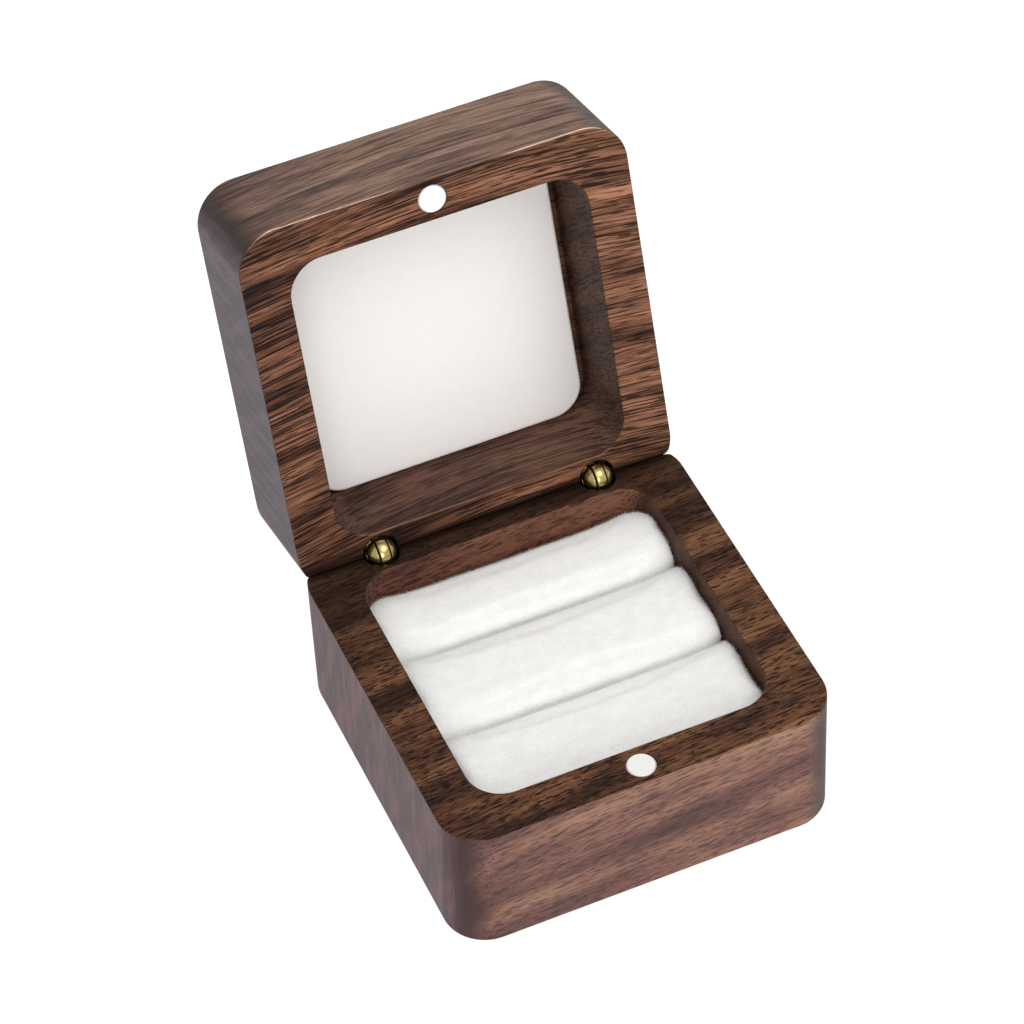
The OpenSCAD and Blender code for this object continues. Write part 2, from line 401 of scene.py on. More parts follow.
woodFinish = {
    "swaySize": (70, 18, 24),      # mm along X, Y and Z
    "dipSize": (55, 14, 18),
    "fibreSize": (3.2, 0.11, 0.15),
    "cloudSize": (18, 3.5, 8),
    "patchSize": (6, 2.2, 5),      # where the pores gather
    "endSize": (0.9, 1.1, 9.0),    # streaks on the end faces
    "toneStops": (0.39, 0.45, 0.50, 0.555, 0.63),
    "endStops": (0.42, 0.50, 0.58),
    "pore": colour("#110907"),
    # deep is the colour of the painted shade
    "deep": colour("#160d0a"),
    "dryArris": colour("#e6cbb6"),
    "wornMouth": colour("#a87a5c"),
    "rimSlope": (0.55, 0.85),      # how level a face lies, from 0 upright to 1 flat
    "bevelSlope": (0.30, 0.50, 0.80, 0.97),
    "edgeSlope": (0.12, 0.40, 0.88, 0.98),
    "endSlope": (0.72, 0.98),      # how squarely a face looks along X
    "cornerSlope": (0.08, 0.75),
    "innerEndSlope": (0.5, 0.95),
    "middleOfWall": (24.4, 25.6),  # mm from the middle of the box; beyond it a wall is an outer one
    "groove": (22.6, 24.2),        # mm in Y, painted shade darkens the rims by the hinge line
    "bevel": (22.8, 23.4),         # mm in Y, the bevels begin here
    "rimDepth": (0.9, 0.5),        # mm from the parting plane
    "edgeDepth": (1.2, 0.8),
    "frontEdge": (-23.5, -25.5),   # mm in Y
    "mouthEdge": (20.4, 21.0, 22.0, 22.4),
    "hole": (2.75, 2.60),          # mm from a hinge's barrel; inside it the drilled wood gets painted shade
    "holeEnd": (11.0, 10.5),       # mm from the parting plane
    "rearDark": 0.75,
    "bevelDark": 0.5,
    "holeDark": 0.9,
    "grooveDark": 0.8,
    "poreDark": 0.85,
}


def walnut(name, opened, look):
    material, shader, place, normal = startMaterial(name, opened)
    finish = woodFinish
    turned = place.node("Mapping", None, {"Vector": place, "Location": look["shift"],
                                          "Rotation": (0, 0, math.radians(look["turn"]))})
    sway = turned.noise(finish["swaySize"], 1.5)
    dip = turned.noise(finish["dipSize"], 1.5, shift=(7, 3, 1))
    x = turned.axis("X")
    off = x - look["bow"][1] - look["shift"][0]
    y = turned.axis("Y") + (sway - 0.5) * look["sway"] + off * off * look["bow"][0]
    z = turned.axis("Z") + (dip - 0.5) * look["sway"]
    fromPithY = y - look["pith"][0]
    fromPithZ = z - look["pith"][1] - x * look["drift"]
    reach = (fromPithY * fromPithY + fromPithZ * fromPithZ).math("SQRT")
    rings = reach.node("TexNoise", {"noise_dimensions": "1D"},
                       {"W": reach, "Scale": 1 / look["ringWidth"], "Detail": 2.5, "Roughness": 0.55})
    grain = place.node("CombineXYZ", None, {0: x, 1: reach, 2: fromPithY - fromPithZ})
    lines = grain.noise(look["lineSize"], 2.0, 0.55)
    fine = grain.noise(look["fineSize"], 1.5, 0.55, (6, 2, 7))
    fibres = grain.noise(finish["fibreSize"], 2.0, 0.6, (3, 9, 4))
    clouds = grain.noise(finish["cloudSize"], 2.0, 0.5, (1, 2, 3))
    cells = grain.node("Mapping", None, {"Vector": grain,
                                         "Scale": tuple(1 / c for c in look["poreCell"])})
    pores = cells.node("TexVoronoi", None, {"Vector": cells, "Scale": 1.0, "Randomness": 1.0})
    patches = grain.noise(finish["patchSize"], 1.0, 0.5, (9, 2, 6))

    shares = look["contrast"]
    # The tone also carries painted light, brighter towards +X
    tone = (rings * shares[0] + clouds * shares[1] + lines * shares[2] + fibres * shares[3]
            + place.axis("X") * look["lighter"])

    def shades(codes):
        return tone.ramp([(at, colour(code)) for at, code in zip(finish["toneStops"], codes)])

    # Masks from where a face is and which way it looks
    py = place.axis("Y")
    level = abs(place.axis("Z") - partingZ / mm)
    lie = abs(normal.axis("Z"))
    bevel = lie.within(*finish["bevelSlope"]) * py.between(*finish["bevel"])
    rim = lie.between(*finish["rimSlope"]) * level.between(*finish["rimDepth"]) * (1 - bevel)
    beside = abs(place.axis("X")) - hingeX / mm
    behind = py - hingeY / mm
    # Painted shade inside the drilled holes round the knuckles
    hole = ((beside * beside + behind * behind).math("SQRT").between(*finish["hole"])
            * level.between(*finish["holeEnd"]))
    fromMiddle = abs(place.axis("X")).atLeast(abs(py))
    away = normal.axis("Z") * (1 if opened else -1)
    outer = (fromMiddle.between(*finish["middleOfWall"]).atLeast(away.between(0.2, 0.5))
             * (1 - rim) * (1 - bevel))
    endways = abs(normal.axis("X"))
    sideways = endways + (clouds - 0.5) * 0.7 + (fibres - 0.5) * 0.25
    corner = sideways.between(*finish["cornerSlope"]) * outer
    ends = (endways + (clouds - 0.5) * 0.3).between(*finish["endSlope"]) * outer
    innerEnd = (endways.between(*finish["innerEndSlope"]) * (1 - outer) * (1 - rim)
                * look["innerEnd"])
    edge = lie.within(*finish["edgeSlope"]) * level.between(*finish["edgeDepth"])
    frontEdge = (edge * py.between(*finish["frontEdge"]) * endways.between(0.45, 0.10)
                 * look["arris"][0])
    mouthEdge = edge * py.within(*finish["mouthEdge"]) * look["arris"][1]

    body = rim.blend(outer.blend(shades(look["cavity"]), shades(look["wall"])), shades(look["rim"]))
    # Painted shade: the rear of the rims is darkened as if the open lid shaded it
    rear = py.between(*look["rearShade"]) * rim
    body = (rear * finish["rearDark"]).blend(body, colour(look["rim"][0]))
    body = corner.blend(body, colour(look["endCorner"]))
    # The left end faces carry a painted violet-grey sheen over the end grain's own colour; the right
    # end faces keep the plain brown
    endTone = rings * 0.3 + place.noise(finish["endSize"], 3.0, 0.6, (2, 8, 5)) * 0.7
    leftEnd, rightEnd = [endTone.ramp([(at, colour(code)) for at, code in
                                       zip(finish["endStops"], look[side])])
                         for side in ("leftEnd", "rightEnd")]
    endBody = normal.axis("X").between(-0.5, 0.5).blend(leftEnd, rightEnd)
    body = ends.blend(body, endBody)
    # Painted shade along the rims by the hinge line, where the two halves meet
    groove = py.between(*finish["groove"]) * (1 - outer)
    # Painted shade: the bevels, the drilled holes and the rims by the hinge line are darkened towards
    # the deep colour; the inner end walls of the cavities are darkened towards it too
    deep = (innerEnd.atLeast(bevel * finish["bevelDark"]).atLeast(hole * finish["holeDark"])
            .atLeast(groove * finish["grooveDark"]))
    body = deep.blend(body, finish["deep"])
    # Streaks and pores show most on the rims and least at the round corners
    depth = (0.62 + 0.38 * rim) * (1 - 0.8 * corner)
    streak = lines.between(*look["lineLevel"]).atLeast(fine.between(*look["fineLevel"]) * 0.7)
    pore = pores.between(*look["poreLevel"]) * patches.between(*look["poreShare"])
    dark = streak.atLeast(pore) * depth
    body = (dark * finish["poreDark"]).blend(body, finish["pore"])
    # Painted highlight along the cavity's edge by the hinges
    body = (mouthEdge * fibres.between(0.34, 0.5)).blend(body, finish["wornMouth"])
    # Painted highlight: a broken pale line along the front edge
    edgeHighlight = frontEdge * clouds.between(0.36, 0.50) * fibres.between(0.34, 0.5)
    body = edgeHighlight.blend(body, finish["dryArris"])
    height = fibres * 0.25 + lines * 0.15 - dark * 0.6
    bump = place.node("Bump", None, {"Height": height, "Strength": 0.45, "Distance": 0.05 * mm})
    coat = outer * (1 - 0.6 * corner) * (1 - ends) * look["lacquer"][0] + ends * look["lacquer"][1]
    connect(shader, Base_Color=body, Roughness=0.50 + 0.15 * fibres + 0.1 * dark, Normal=bump,
            Specular_IOR_Level=0.12, Coat_Weight=coat, Coat_Roughness=0.38, Coat_IOR=1.5)
    return material


blockLook = {
    "lidHeight": 17.4 * mm,
    "roof": 3.0 * mm,
    "sideWall": 6.3 * mm,
    "frontWall": 6.1 * mm,
    "rearWall": 6.3 * mm,
    "cornerRadius": 6.0 * mm,
    "cavityRadius": 5.0 * mm,
    "footEase": 0.4 * mm,       # rounding of the edges that stand on the table, or lie uppermost
    "rimEase": 0.20 * mm,
    "mouthEase": 0.30 * mm,
    "fillet": 0.6 * mm,         # where the walls meet the floor of a cavity
    "bevelFit": 0.01 * mm,      # half the room between the two bevels of the open box
    "bevelRound": 2.5 * mm,
    "holeDiameter": 5.0 * mm,
    "holeDepth": 9.5 * mm,
    "holeEase": 0.12 * mm,
    "magnetSeat": 2.1 * mm,
    "magnetHole": 4.1 * mm,
    "cornerSteps": 24,
    "easeSteps": 6,
}
cavityFront = blockLook["frontWall"] - boxHalf
cavityRear = boxHalf - blockLook["rearWall"]
cavityHalf = boxHalf - blockLook["sideWall"]


# One half of the box, foot down, with its rim at the parting height
def milledHalf(name, height, cavityDepth):
    look = blockLook
    top = height - rimGap / 2
    bottom = height - cavityDepth
    rings = []

    def outer(inset, z):
        rings.append(roundedRing(boxHalf - inset, inset - boxHalf, boxHalf - inset,
                                 look["cornerRadius"] - inset, z, look["cornerSteps"]))

    def inner(outset, z):
        rings.append(roundedRing(cavityHalf + outset, cavityFront - outset, cavityRear + outset,
                                 look["cavityRadius"] + outset, z, look["cornerSteps"]))

    arc = [math.radians(90 * i / look["easeSteps"]) for i in range(look["easeSteps"] + 1)]
    foot = look["footEase"]
    rim = look["rimEase"]
    mouth = look["mouthEase"]
    fillet = look["fillet"]
    outer(foot + support, 0)
    for a in arc:
        outer(foot * (1 - math.sin(a)), foot * (1 - math.cos(a)))
    outer(0, foot + support)
    outer(0, top - rim - support)
    for a in arc:
        outer(rim * (1 - math.cos(a)), top - rim * (1 - math.sin(a)))
    outer(rim + support, top)
    inner(mouth + support, top)
    for a in arc:
        inner(mouth * (1 - math.sin(a)), top - mouth * (1 - math.cos(a)))
    inner(0, top - mouth - support)
    inner(0, bottom + fillet + support)
    for a in arc:
        inner(-fillet * (1 - math.cos(a)), bottom + fillet * (1 - math.sin(a)))
    inner(-fillet - support, bottom)
    half = placeMesh(name, loft(rings))
    cutters = [rearBevel(height)]
    for sign in (-1, 1):
        cutters.append(drilledHole(sign * hingeX, hingeY, height, look["holeDiameter"],
                                   look["holeDepth"], look["holeEase"]))
    cutters.append(drilledHole(0, magnetY, height, look["magnetHole"], look["magnetSeat"],
                               look["holeEase"] / 2))
    combine(half, cutters, "DIFFERENCE")
    return half


# Wedge that comes off the rear of a rim, so that the lid can tip back, with a rounded front edge
def rearBevel(height):
    look = blockLook
    tilt = openAngle / 2
    lower = height - look["bevelFit"]
    beyond = 1 * mm
    drop = (boxHalf + beyond - hingeY) * math.tan(tilt)
    start = hingeY - look["bevelRound"] * math.tan(tilt / 2)
    section = [(start + look["bevelRound"] * math.sin(tilt * i / 8),
                lower - look["bevelRound"] * (1 - math.cos(tilt * i / 8))) for i in range(9)]
    section += [(boxHalf + beyond, lower - drop), (boxHalf + beyond, height + beyond),
                (start, height + beyond)]
    reach = boxHalf + beyond
    return placeMesh("cutter", loft([[(x, y, z) for y, z in section] for x in (-reach, reach)]))


def drilledHole(x, y, height, diameter, depth, ease):
    rim = height - rimGap / 2
    r = diameter / 2
    profile = [(r, height - depth), (r, rim - ease), (r + ease, rim), (r + ease + 1 * mm, rim + 1 * mm)]
    cutter = placeMesh("cutter", lathe(profile, 64))
    cutter.data.transform(Matrix.Translation((x, y, 0)))
    return cutter


def dressPiece(piece, material, angle, node, body):
    piece.data.materials.clear()
    piece.data.materials.append(material)
    shadeByAngle(piece, angle)
    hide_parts(node)
    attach(piece, body)


baseHeight = partingZ
lidHeight = blockLook["lidHeight"]
baseCavity = baseHeight - cardLow.z
lidCavity = lidHeight - blockLook["roof"]

baseWood = milledHalf("baseWood", baseHeight, baseCavity)
dressPiece(baseWood, walnut("walnutBase", False, baseGrain), 25, "base_box", "base")

# The lid is milled the same way, turned over on top of the base and opened
lidWood = milledHalf("lidWood", lidHeight, lidCavity)
turnOver = Matrix.Translation((0, 0, baseHeight + lidHeight)) @ Matrix.Diagonal((1, 1, -1, 1))
lidWood.data.transform(openTurn @ turnOver)
lidWood.data.flip_normals()
dressPiece(lidWood, walnut("walnutLid", True, lidGrain), 25, "lid_box", "lid")
print("the two wooden halves are milled")


# Velvet rolls

rollLook = {
    "rearSlotY": 9.6 * mm,
    "frontSlotY": -5.2 * mm,
    "slotPlay": 0.1 * mm,
    "wallPlay": 0.1 * mm,
    "drop": 4.5 * mm,
    "domeHeight": 2.0 * mm,
    "slotFullness": 3.4,
    "wallFullness": 8,
    "endFullness": 6,
    "ridgeEnd": 0.5 * mm,
    "slotRadius": 0.8 * mm,
    "wallRadius": 4.9 * mm,
    "footRounding": ((0, 0.6 * mm), (0.15 * mm, 0.35 * mm), (0.6 * mm, 0.1 * mm), (1.6 * mm, 0)),
    "leastRadius": 0.1 * mm,
    "cornerSteps": 10,
    "straightSteps": (10, 40),
    "sideSteps": 8,
    "domeSteps": 22,
    "domeCrowding": 2.4,     # how much closer the rings lie near the crown
    "lastStep": 0.9995,      # just short of the crown's own line
}
rollFoot = cardHigh.z
rollCrown = partingZ - rollLook["drop"]
rollHalf = cavityHalf - rollLook["wallPlay"]


def drawIn(step, reach, fullness):
    return reach * (1 - (1 - step ** fullness) ** (1 / fullness))


# Plan outline of a roll; straight runs are divided so that the surface can bend
def rollRing(halfX, front, rear, frontRadius, rearRadius, z):
    fit = (rear - front) * 0.48
    f = min(frontRadius, fit)
    b = min(rearRadius, fit)
    corners = ((halfX - f, front + f, f, -90), (halfX - b, rear - b, b, 0),
               (b - halfX, rear - b, b, 90), (f - halfX, front + f, f, 180))
    arcs = []
    for cx, cy, r, start in corners:
        arcs.append([(cx + r * math.cos(math.radians(start + 90 * i / rollLook["cornerSteps"])),
                      cy + r * math.sin(math.radians(start + 90 * i / rollLook["cornerSteps"])))
                     for i in range(rollLook["cornerSteps"] + 1)])
    points = []
    for arc, following, pieces in zip(arcs, arcs[1:] + arcs[:1], rollLook["straightSteps"] * 2):
        points += arc
        points += [tuple(arc[-1][k] + (following[0][k] - arc[-1][k]) * i / pieces for k in (0, 1))
                   for i in range(1, pieces)]
    return [(px, py, z) for px, py in points]


def rollMesh(front, rear, frontKind, rearKind, skin=0.0):
    look = rollLook
    radius = {"slot": look["slotRadius"] - skin, "wall": look["wallRadius"] - skin}
    fullness = {"slot": look["slotFullness"], "wall": look["wallFullness"]}
    front += skin
    rear -= skin
    halfX = rollHalf - skin
    foot = rollFoot + skin
    rings = []
    for level, inset in look["footRounding"]:
        rings.append(rollRing(halfX - inset, front + inset, rear - inset, radius[frontKind],
                              radius[rearKind], foot + level))
    start = foot + look["footRounding"][-1][0]
    end = rollCrown - look["domeHeight"]
    for i in range(1, look["sideSteps"]):
        rings.append(rollRing(halfX, front, rear, radius[frontKind], radius[rearKind],
                              start + (end - start) * i / look["sideSteps"]))
    middle = (rear - front) / 2
    for i in range(look["domeSteps"] + 1):
        step = min(1 - (1 - i / look["domeSteps"]) ** look["domeCrowding"], look["lastStep"])
        shrink = (1 - step ** look["slotFullness"]) ** (1 / look["slotFullness"])
        rings.append(rollRing(halfX - drawIn(step, look["ridgeEnd"], look["endFullness"]),
                              front + drawIn(step, middle, fullness[frontKind]),
                              rear - drawIn(step, middle, fullness[rearKind]),
                              max(radius[frontKind] * shrink, look["leastRadius"]),
                              max(radius[rearKind] * shrink, look["leastRadius"]),
                              rollCrown - skin - (look["domeHeight"] - skin) * (1 - step)))
    return loft(rings)


# The velvet is blown up softly round each roll as cloth and held inside its place in the cavity.
# It is simulated ten times as large as it is, because cloth settles badly at a few millimetres.
puffLook = {
    "scale": 10,
    "skin": 0.25 * mm,        # how much smaller the roll starts
    "voxel": 0.5 * mm,
    "mass": 0.3,
    "stiffness": 8,
    "bending": 0.3,
    "pressure": 4.0,
    "slack": 0.03,            # how much larger the velvet is cut than the foam
    "frames": 20,
    "reach": 0.9 * mm,        # the most that a point may move outward
    "sink": 0.08 * mm,        # and inward
    "wallGap": 0.05 * mm,
    "crownRise": 0.5 * mm,
    "room": (0.25 * mm, 0.2 * mm, 0.8 * mm),  # over which the velvet is eased off its limits
    "softness": 8,            # rounds of smoothing
    "endLift": 1.5 * mm,      # how far the crown rises towards the side walls
    "endRun": 9 * mm,         # and over what length
    "slotShare": 0.9,         # how much less it rises beside a slot
}


def puffRoll(roll, front, rear):
    look = puffLook
    roll.data.transform(Matrix.Scale(look["scale"], 4))
    remesh = roll.modifiers.new("remesh", "REMESH")
    remesh.mode = "VOXEL"
    remesh.voxel_size = look["voxel"] * look["scale"]
    settle(roll)
    start = [(v.co.copy(), v.normal.copy()) for v in roll.data.vertices]
    cloth = roll.modifiers.new("velvet", "CLOTH")
    cloth.settings.quality = 5
    cloth.settings.mass = look["mass"]
    cloth.settings.tension_stiffness = look["stiffness"]
    cloth.settings.compression_stiffness = look["stiffness"]
    cloth.settings.bending_stiffness = look["bending"]
    cloth.settings.shrink_min = -look["slack"]
    cloth.settings.use_pressure = True
    cloth.settings.uniform_pressure_force = look["pressure"]
    cloth.settings.effector_weights.gravity = 0
    cloth.collision_settings.use_collision = False
    cloth.point_cache.frame_end = look["frames"]
    for step in range(1, look["frames"] + 1):
        bpy.context.scene.frame_set(step)
    settle(roll)
    bpy.context.scene.frame_set(1)
    for vertex, (before, outward) in zip(roll.data.vertices, start):
        moved = vertex.co - before
        inward = -moved.dot(outward) - look["sink"] * look["scale"]
        if inward > 0:
            moved += outward * inward
        most = look["reach"] * look["scale"]
        if moved.length > most:
            moved *= most / moved.length
        vertex.co = (before + moved) / look["scale"]
        holdInCavity(vertex.co, front, rear)
    soft = roll.modifiers.new("soft", "SMOOTH")
    soft.factor = 0.5
    soft.iterations = look["softness"]
    finer = roll.modifiers.new("finer", "SUBSURF")
    finer.levels = 1
    finer.render_levels = 1
    settle(roll)
    for vertex in roll.data.vertices:
        holdInCavity(vertex.co, front, rear)
        liftEnds(vertex.co, front, rear)


# The velvet bunches up a little towards the side walls, most along the middle of a roll
def liftEnds(co, front, rear):
    look = puffLook
    run = max(0, 1 - (cavityHalf - abs(co.x)) / look["endRun"])
    across = 2 * (co.y - front) / (rear - front) - 1
    share = run * run * (3 - 2 * run) * (1 - look["slotShare"] * across * across)
    co.z += look["endLift"] * share * (co.z - rollFoot) / (rollCrown - rollFoot)


# Bends a value off softly over the last bit of room before its limit
def easeOff(value, limit, room):
    past = value - (limit - room)
    return value if past <= 0 else limit - room * math.exp(-past / room)


def holdInCavity(co, front, rear):
    look = puffLook
    wall = cavityHalf - look["wallGap"]
    roomX, roomY, roomZ = look["room"]
    co.x = math.copysign(easeOff(abs(co.x), wall, roomX), co.x)
    co.y = easeOff(co.y, rear, roomY)
    co.y = -easeOff(-co.y, -front, roomY)
    co.z = max(rollFoot, easeOff(co.z, rollCrown + look["crownRise"], roomZ))
    radius = blockLook["cavityRadius"]
    cornerX = math.copysign(cavityHalf - radius, co.x)
    cornerY = cavityRear - radius if co.y > 0 else cavityFront + radius
    out = Vector((co.x - cornerX, co.y - cornerY))
    if out.x * co.x > 0 and out.y * co.y > 0 and out.length > radius - look["wallGap"]:
        out *= (radius - look["wallGap"]) / out.length
        co.x = cornerX + out.x
        co.y = cornerY + out.y


velvetLook = {
    "pile": (0.22, 0.22, 0.22),   # mm, size of the tufts
    "nap": (2.6, 1.6, 2.6),       # mm, size of the brushed patches
}


def velvet(name, high, low, brushed, opened=False):
    material, shader, place, normal = startMaterial(name, opened)
    pile = place.noise(velvetLook["pile"], 2.0, 0.6)
    nap = place.noise(velvetLook["nap"], 3.0, 0.6, (4, 4, 4))
    shade = pile.between(0.25, 0.75) * 0.6 + nap.between(0.3, 0.7) * 0.4
    body = shade.blend(low, high)
    bump = place.node("Bump", None, {"Height": pile + nap * brushed, "Strength": 0.5,
                                     "Distance": 0.12 * mm})
    connect(shader, Base_Color=body, Roughness=0.95, Normal=bump, Specular_IOR_Level=0.1,
            Sheen_Weight=0.25, Sheen_Roughness=0.5)
    return material


whiteVelvet = velvet("whiteVelvet", colour("#fcfcfa"), colour("#efeeec"), 0.6)
rolls = {
    "rearRoll": (rollLook["rearSlotY"] + rollLook["slotPlay"], cavityRear - rollLook["wallPlay"],
                 "slot", "wall", "rear_roll_cover"),
    "middleRoll": (rollLook["frontSlotY"] + rollLook["slotPlay"],
                   rollLook["rearSlotY"] - rollLook["slotPlay"], "slot", "slot", "middle_roll_cover"),
    "frontRoll": (cavityFront + rollLook["wallPlay"], rollLook["frontSlotY"] - rollLook["slotPlay"],
                  "wall", "slot", "front_roll_cover"),
}
rollPieces = []
for name, (front, rear, frontKind, rearKind, node) in rolls.items():
    roll = placeMesh(name, rollMesh(front, rear, frontKind, rearKind, puffLook["skin"]), 60)
    puffRoll(roll, front, rear)
    shadeByAngle(roll, 60)
    roll.data.materials.append(whiteVelvet)
    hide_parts(node)
    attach(roll, "base")
    rollPieces.append(roll)
print("the velvet rolls are in")


# Velvet pile

# A geometry tree: its named inputs come first, and node() wires the rest as Wire does for shaders
class Weave:
    def __init__(self, name, inputs):
        self.tree = bpy.data.node_groups.new(name, "GeometryNodeTree")
        self.tree.interface.new_socket("Geometry", in_out="INPUT", socket_type="NodeSocketGeometry")
        self.tree.interface.new_socket("Geometry", in_out="OUTPUT", socket_type="NodeSocketGeometry")
        for label, kind in inputs.items():
            self.tree.interface.new_socket(label, in_out="INPUT", socket_type="NodeSocket" + kind)
        self.start = self.tree.nodes.new("NodeGroupInput").outputs
        self.end = self.tree.nodes.new("NodeGroupOutput").inputs

    def node(self, kind, settings=None, inputs=None, output=0):
        made = self.tree.nodes.new(kind)
        for name, value in (settings or {}).items():
            setattr(made, name, value)
        for key, value in (inputs or {}).items():
            if isinstance(value, bpy.types.NodeSocket):
                self.tree.links.new(value, made.inputs[key])
            else:
                made.inputs[key].default_value = value
        return made.outputs[output]

    # Runs the tree on a piece with these values and leaves a plain mesh
    def dress(self, piece, values):
        step = piece.modifiers.new("weave", "NODES")
        step.node_group = self.tree
        sockets = {item.name: item.identifier for item in self.tree.interface.items_tree
                   if item.in_out == "INPUT"}
        for label, value in values.items():
            step[sockets[label]] = value
        settle(piece)


pileLook = {
    "density": 21e6,         # fibres on a square metre, 21 on a square millimetre
    "length": 0.38 * mm,
    "radius": 0.017 * mm,
    "lean": 0.6,             # radians
    "facing": 0.05,          # least upward slope of the velvet that carries fibres
    "sizes": (0.55, 1.15),   # shortest and longest, as a share of the length
    "lowest": 3.0 * mm,      # below the crown, where the pile is out of sight
    "seed": 7,
}


def pileTree(material):
    weave = Weave("pile", {"Density": "Float", "Length": "Float", "Radius": "Float",
                           "Lean": "Float", "Lowest": "Float", "Seed": "Int"})
    start = weave.start
    height = weave.node("ShaderNodeSeparateXYZ", None,
                        {0: weave.node("GeometryNodeInputPosition")}, 2)
    upward = weave.node("ShaderNodeSeparateXYZ", None,
                        {0: weave.node("GeometryNodeInputNormal")}, 2)
    above = weave.node("FunctionNodeCompare", {"operation": "GREATER_THAN"},
                       {0: height, 1: start["Lowest"]})
    facing = weave.node("FunctionNodeCompare", {"operation": "GREATER_THAN"},
                        {0: upward, 1: pileLook["facing"]})
    seen = weave.node("FunctionNodeBooleanMath", {"operation": "AND"}, {0: above, 1: facing})
    spots = weave.node("GeometryNodeDistributePointsOnFaces", None,
                       {"Mesh": start["Geometry"], "Selection": seen,
                        "Density": start["Density"], "Seed": start["Seed"]}).node
    fibre = weave.node("GeometryNodeMeshCone", {"fill_type": "NGON"},
                       {"Vertices": 3, "Radius Top": 0.0, "Radius Bottom": start["Radius"],
                        "Depth": start["Length"]})
    back = weave.node("ShaderNodeMath", {"operation": "MULTIPLY"}, {0: start["Lean"], 1: -1.0})
    low = weave.node("ShaderNodeCombineXYZ", None, {0: back, 1: back, 2: 0.0})
    high = weave.node("ShaderNodeCombineXYZ", None, {0: start["Lean"], 1: start["Lean"], 2: 6.28})
    lean = weave.node("FunctionNodeRandomValue", {"data_type": "FLOAT_VECTOR"},
                      {0: low, 1: high, "Seed": start["Seed"]})
    turn = weave.node("FunctionNodeRotateRotation", {"rotation_space": "LOCAL"},
                      {0: spots.outputs["Rotation"],
                       1: weave.node("FunctionNodeEulerToRotation", None, {0: lean})})
    size = weave.node("FunctionNodeRandomValue", {"data_type": "FLOAT"},
                      {2: pileLook["sizes"][0], 3: pileLook["sizes"][1], "Seed": start["Seed"]}, 1)
    placed = weave.node("GeometryNodeInstanceOnPoints", None,
                        {"Points": spots.outputs["Points"], "Instance": fibre,
                         "Rotation": turn, "Scale": size})
    plain = weave.node("GeometryNodeRealizeInstances", None, {0: placed})
    coloured = weave.node("GeometryNodeSetMaterial", None, {0: plain, "Material": material})
    weave.tree.links.new(coloured, weave.end["Geometry"])
    return weave


pileMesh = bmesh.new()
for roll in rollPieces:
    pileMesh.from_mesh(roll.data)
pile = placeMesh("rollPile", meshFrom(pileMesh, "pile"))
pileTree(whiteVelvet).dress(pile, {
    "Density": pileLook["density"], "Length": pileLook["length"], "Radius": pileLook["radius"],
    "Lean": pileLook["lean"], "Lowest": rollCrown - pileLook["lowest"], "Seed": pileLook["seed"]})
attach(pile, "base")
print("the pile has", len(pile.data.polygons), "faces")


# Lid lining

liningLook = {
    "width": 40.2 * mm,
    "depth": 42.3 * mm,
    "radius": 4.5 * mm,
    "drop": 12.5 * mm,        # from the parting plane to the face
    "turn": 0.5 * mm,         # radius of the rounded edge
    "turnSteps": 8,
    "faceRings": (1.6, 2.8, 4.4, 8, 12, 16, 19.4),  # mm in from the edge
    "leastRadius": 0.3 * mm,
    "cornerSteps": 12,
    "roofPlay": 0.02 * mm,
    "cloth": 0.4 * mm,
}


def liningSheet():
    look = liningLook
    middleY = (cavityFront + cavityRear) / 2
    roof = lidCavity - look["drop"]
    rings = []

    def ring(inset, depth):
        rings.append(roundedRing(look["width"] / 2 - inset, middleY - look["depth"] / 2 + inset,
                                 middleY + look["depth"] / 2 - inset,
                                 max(look["radius"] - inset, look["leastRadius"]),
                                 partingZ + look["drop"] + depth, look["cornerSteps"]))

    ring(0, roof - look["roofPlay"])
    ring(0, look["turn"])
    for i in range(1, look["turnSteps"] + 1):
        a = math.radians(90 * i / look["turnSteps"])
        ring(look["turn"] * (1 - math.cos(a)), look["turn"] * (1 - math.sin(a)))
    for inset in look["faceRings"]:
        ring(inset * mm, 0)
    built = bmesh.new()
    rows = [[built.verts.new(point) for point in points] for points in rings]
    bridge(built, rows)
    built.faces.new(rows[-1])
    bmesh.ops.recalc_face_normals(built, faces=built.faces)
    if max(built.faces, key=lambda f: f.calc_area()).normal.z > 0:
        bmesh.ops.reverse_faces(built, faces=built.faces)
    mesh = meshFrom(built, "lining")
    mesh.transform(openTurn)
    return mesh


lining = placeMesh("lidLining", liningSheet(), 80)
cloth = lining.modifiers.new("cloth", "SOLIDIFY")
cloth.thickness = liningLook["cloth"]
cloth.offset = -1
settle(lining)
lining.data.materials.append(velvet("liningVelvet", colour("#fbf7f4"), colour("#f8f3f0"), 0.15, True))
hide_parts("lining_cover")
liningTurned = 2 * (lidCavity - liningLook["drop"])
liningLook["width"] + liningTurned
liningLook["depth"] + liningTurned
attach(lining, "lid")
print("the lining is stretched over its pad")


# Hinges and magnets

